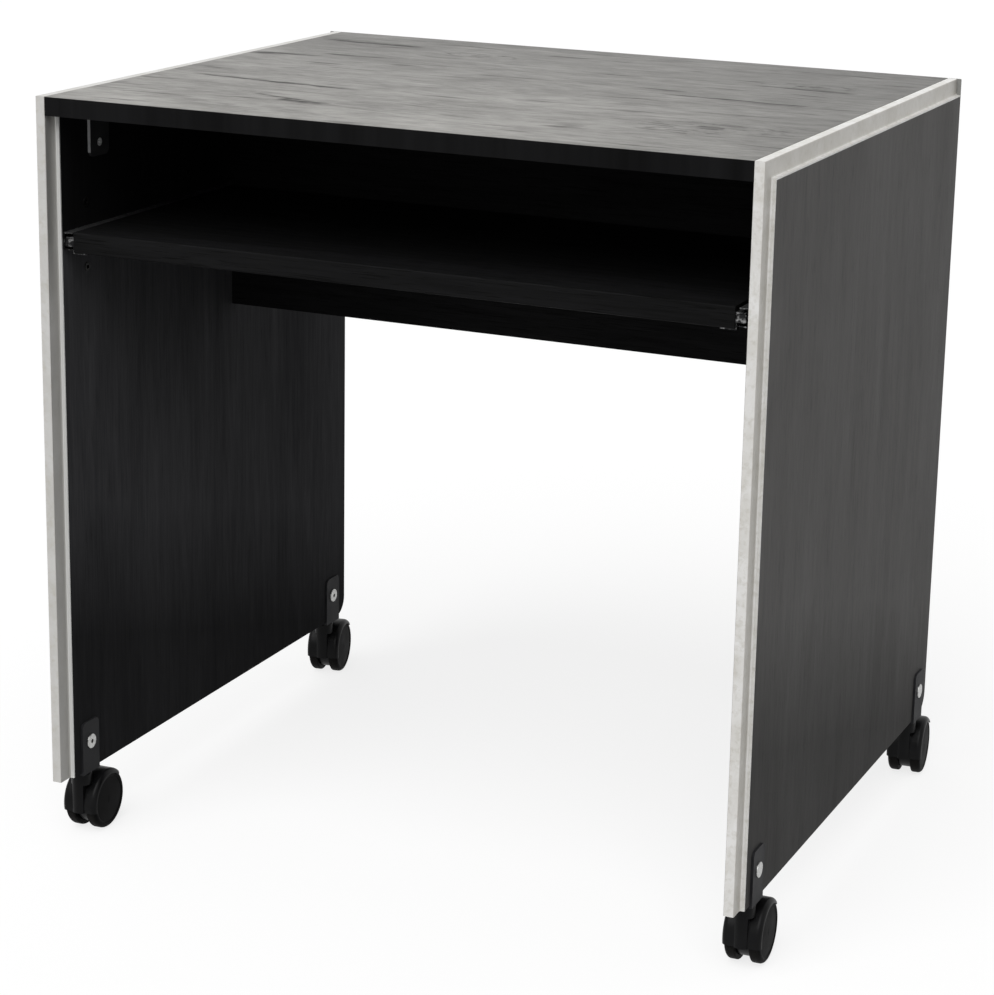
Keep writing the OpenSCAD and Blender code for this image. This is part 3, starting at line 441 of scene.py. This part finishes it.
def nylon(name, low, high, rough, specular, centre=None, radius=None):
    """Moulded black nylon with a fine grain; a wheel's tread is scuffed round its centre."""
    s = Shader(name, specular=specular)
    cloud, fine = two_scales(s, 70, 1400)
    base = s.mix(s.span(cloud, 0.35, 0.65), low, high)
    roughness = s.span(cloud, 0.3, 0.7, *rough)
    if centre is not None:
        tread = s.span(s.distance(centre), *(radius - below for below in TREAD_FADE))
        scuffed = s.product(tread, s.span(fine, 0.4, 0.6, 0.4, 1.0))
        base = s.mix(scuffed, base, SCUFFED)
        roughness = s.math("MAXIMUM", roughness, s.product(scuffed, 0.6))
    return s.finish(base, roughness, s.bump(fine, FINE_DEPTH))


# The greys of the steel and moulded finishes, the dark and the light of each
MATT_GREY = colour(128, 128, 126), colour(146, 146, 143)
PLATE_GREY = colour(120, 120, 122), colour(140, 140, 142)
BALL_GREY = colour(200, 200, 201), colour(216, 216, 217)
CAST_GREY = colour(110, 110, 107), colour(130, 130, 127)
SLEEVE_GREY = colour(40, 40, 40), colour(54, 54, 53)
SCREW_GREY = colour(150, 150, 149), colour(190, 190, 188)
ZINC_GREY = colour(222, 222, 222), colour(236, 236, 236)
SADDLE_BLACK = colour(34, 34, 36), colour(44, 44, 46)
BRACKET_BLACK = colour(46, 46, 47), colour(58, 58, 59)
HOOD_BLACK = colour(11, 11, 12), colour(17, 17, 18)
WHEEL_BLACK = colour(10, 10, 11), colour(17, 17, 17)

FINISHES = {
    "worktop": worktop(),
    "upright": side_panel(),
    "board": black_board(),
    "trim": trim_metal(),
    "end_caps": nylon("end_caps", *MATT_GREY, (0.5, 0.6), 0.2),
    "cage_steel": sheet_metal("cage_steel", *PLATE_GREY),
    "ball_steel": sheet_metal("ball_steel", *BALL_GREY, (0.08, 0.14)),
    "dowel": black_board(),
    "fitting": sheet_metal("fitting", *CAST_GREY),
    "sleeve": sheet_metal("sleeve", *SLEEVE_GREY, (0.4, 0.5)),
    "screw": sheet_metal("screw", *SCREW_GREY, (0.24, 0.34), 420),
    "zinc": sheet_metal("zinc", *ZINC_GREY, (0.6, 0.7), 420),
    "stem": sheet_metal("stem", *PLATE_GREY),
    "saddle": coated_metal("saddle", *SADDLE_BLACK),
    "hood": nylon("hood", *HOOD_BLACK, (0.3, 0.4), 0.1),
}

# Which finish each node takes: the first ending that fits its name
ENDINGS = {
    "top_board": "worktop",
    "_panel_dowels": "dowel",
    "left_panel": "upright",
    "right_panel": "upright",
    "back_panel": "board",
    "keyboard_shelf": "board",
    "cam_locks": "fitting",
    "cam_bolts": "fitting",
    "spare_sleeves": "sleeve",
    "saddle_sleeves": "screw",
    "bracket_screws": "zinc",
    "screws": "screw",
    "end_caps": "end_caps",
    "trim": "trim",
    "ball_cage": "cage_steel",
    "balls": "ball_steel",
    "saddle": "saddle",
    "snap_rings": "fitting",
    "stem": "stem",
    "axle": "stem",
    "hood": "hood",
}


def wheel_finish(name):
    """The wheel's own nylon, scuffed on its tread."""
    low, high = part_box(name)
    centre = [(a + b) / 2 for a, b in zip(low, high)]
    radius = (high[2] - low[2]) / 2
    return nylon(name, *WHEEL_BLACK, (0.5, 0.62), 0.03, centre, radius)


def bracket_finish(name):
    """The bracket's black enamel, rubbed on its own front edge."""
    return coated_metal(name, *BRACKET_BLACK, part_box(name)[0][1])


def finish_of(name):
    """A node's finish: its own where it depends on the node's box, or else a shared one."""
    if name.endswith("_rail"):
        return rail_steel(name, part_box(name)[1][2])
    if name.endswith("_wheel"):
        return wheel_finish(name)
    if name.endswith("_bracket"):
        return bracket_finish(name)
    return FINISHES[next(ENDINGS[end] for end in ENDINGS if name.endswith(end))]


def dress():
    """Gives every node of the frame its finish."""
    for name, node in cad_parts.items():
        finish = finish_of(name)
        for slot in node.material_slots:
            slot.material = finish


def shown_white(tree, lit, strength):
    """Adds white to what is lit, for rays that look at the background itself."""
    path = tree.nodes.new("ShaderNodeLightPath")
    seen = path.outputs["Is Camera Ray"]
    for ray in ("Is Glossy Ray", "Is Transmission Ray"):
        either = tree.nodes.new("ShaderNodeMath")
        either.operation = "MAXIMUM"
        tree.links.new(seen, either.inputs[0])
        tree.links.new(path.outputs[ray], either.inputs[1])
        seen = either.outputs[0]
    glow = tree.nodes.new("ShaderNodeEmission")
    share = tree.nodes.new("ShaderNodeMath")
    share.operation = "MULTIPLY"
    share.inputs[1].default_value = strength
    tree.links.new(seen, share.inputs[0])
    tree.links.new(share.outputs[0], glow.inputs["Strength"])
    both = tree.nodes.new("ShaderNodeAddShader")
    tree.links.new(lit, both.inputs[0])
    tree.links.new(glow.outputs[0], both.inputs[1])
    return both.outputs[0]


# The floor's own colour keeps the shadow, and its glow brings it up to white
FLOOR_GREY = 0.24
FLOOR_GLOW = 0.79
FLOOR_SIZE = 80
WORLD_GREY = 0.36
KEY_SUN = {"azimuth": 2, "elevation": 52, "level": 0.72, "softness": 50}


def make_floor():
    """A plain pale floor that keeps a soft shadow."""
    bpy.ops.mesh.primitive_plane_add(size=FLOOR_SIZE, location=(0, 0, 0))
    floor = bpy.context.object
    floor.name = "floor"
    material = bpy.data.materials.new("floor")
    material.use_nodes = True
    tree = material.node_tree
    tree.nodes.clear()
    lit = tree.nodes.new("ShaderNodeBsdfDiffuse")
    lit.inputs["Color"].default_value = (FLOOR_GREY, FLOOR_GREY, FLOOR_GREY, 1)
    output = tree.nodes.new("ShaderNodeOutputMaterial")
    tree.links.new(shown_white(tree, lit.outputs[0], FLOOR_GLOW), output.inputs[0])
    floor.data.materials.append(material)


def make_world():
    """Even grey light from all round, seen as white."""
    world = bpy.data.worlds.new("studio")
    bpy.context.scene.world = world
    world.use_nodes = True
    tree = world.node_tree
    tree.nodes.clear()
    around = tree.nodes.new("ShaderNodeBackground")
    around.inputs["Color"].default_value = (1, 1, 1, 1)
    around.inputs["Strength"].default_value = WORLD_GREY
    output = tree.nodes.new("ShaderNodeOutputWorld")
    tree.links.new(shown_white(tree, around.outputs[0], 1 - WORLD_GREY), output.inputs[0])


def make_sun(name, azimuth, elevation, level, softness):
    """A soft sun: azimuth 0 shines from the front, 90 from the right."""
    data = bpy.data.lights.new(name, "SUN")
    data.energy = level * math.pi
    data.angle = math.radians(softness)
    sun = bpy.data.objects.new(name, data)
    a, e = math.radians(azimuth), math.radians(elevation)
    source = Vector((math.sin(a) * math.cos(e), -math.cos(a) * math.cos(e), math.sin(e)))
    sun.rotation_euler = source.to_track_quat("Z", "Y").to_euler()
    bpy.context.collection.objects.link(sun)


def make_camera():
    """The photograph's camera, from the yaw, pitch and roll that fit it."""
    cy, sy = math.cos(CAMERA_YAW), math.sin(CAMERA_YAW)
    cp, sp = math.cos(CAMERA_PITCH), math.sin(CAMERA_PITCH)
    cr, sr = math.cos(CAMERA_ROLL), math.sin(CAMERA_ROLL)
    forward = Vector((sy * cp, cy * cp, -sp))
    level_right = Vector((cy, -sy, 0))
    level_down = forward.cross(level_right)
    right = cr * level_right + sr * level_down
    down = -sr * level_right + cr * level_down
    data = bpy.data.cameras.new("photo")
    data.sensor_width = SENSOR
    data.lens = FOCAL_PX * SENSOR / max(PHOTO_W, PHOTO_H)
    data.shift_x = (PHOTO_W / 2 - MIDDLE_PX[0]) / max(PHOTO_W, PHOTO_H)
    data.shift_y = (MIDDLE_PX[1] - PHOTO_H / 2) / max(PHOTO_W, PHOTO_H)
    camera = bpy.data.objects.new("photo", data)
    turn = Matrix((right, -down, -forward)).transposed()
    camera.matrix_world = Matrix.Translation(CAMERA_AT) @ turn.to_4x4()
    bpy.context.collection.objects.link(camera)
    bpy.context.scene.camera = camera


make_camera()
make_world()
make_floor()
make_sun("key", **KEY_SUN)
dress()
bpy.context.scene.view_settings.view_transform = "Standard"
